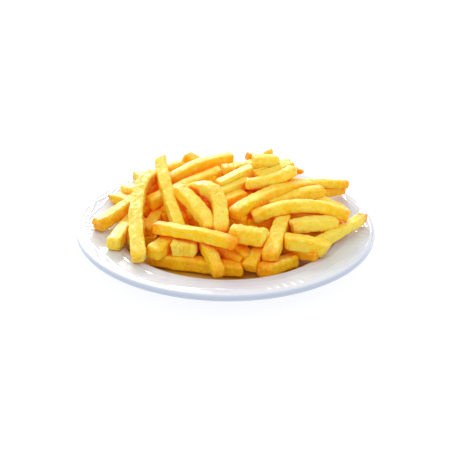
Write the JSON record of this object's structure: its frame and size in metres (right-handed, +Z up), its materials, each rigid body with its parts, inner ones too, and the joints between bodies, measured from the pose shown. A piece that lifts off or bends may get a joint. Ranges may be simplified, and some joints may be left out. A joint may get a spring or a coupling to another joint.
{
  "type": "french fries portion",
  "caption": "Loose heap of golden fried potato sticks on a round white glazed plate with a wide rim, a shallow well and a foot ring.",
  "frame": {"origin": "on the table, under the middle of the plate", "axes": "+Z up, -Y towards the diner, +X to the diner's right"},
  "size_m": [0.23, 0.23, 0.0633],
  "materials": {
    "glaze": "smooth glossy white glaze",
    "potato": "fried potato, golden and slightly oily, browned at the ends"
  },
  "bodies": {
    "root": {"plate": "glaze", "fries": "potato"}
  },
  "joints": []
}
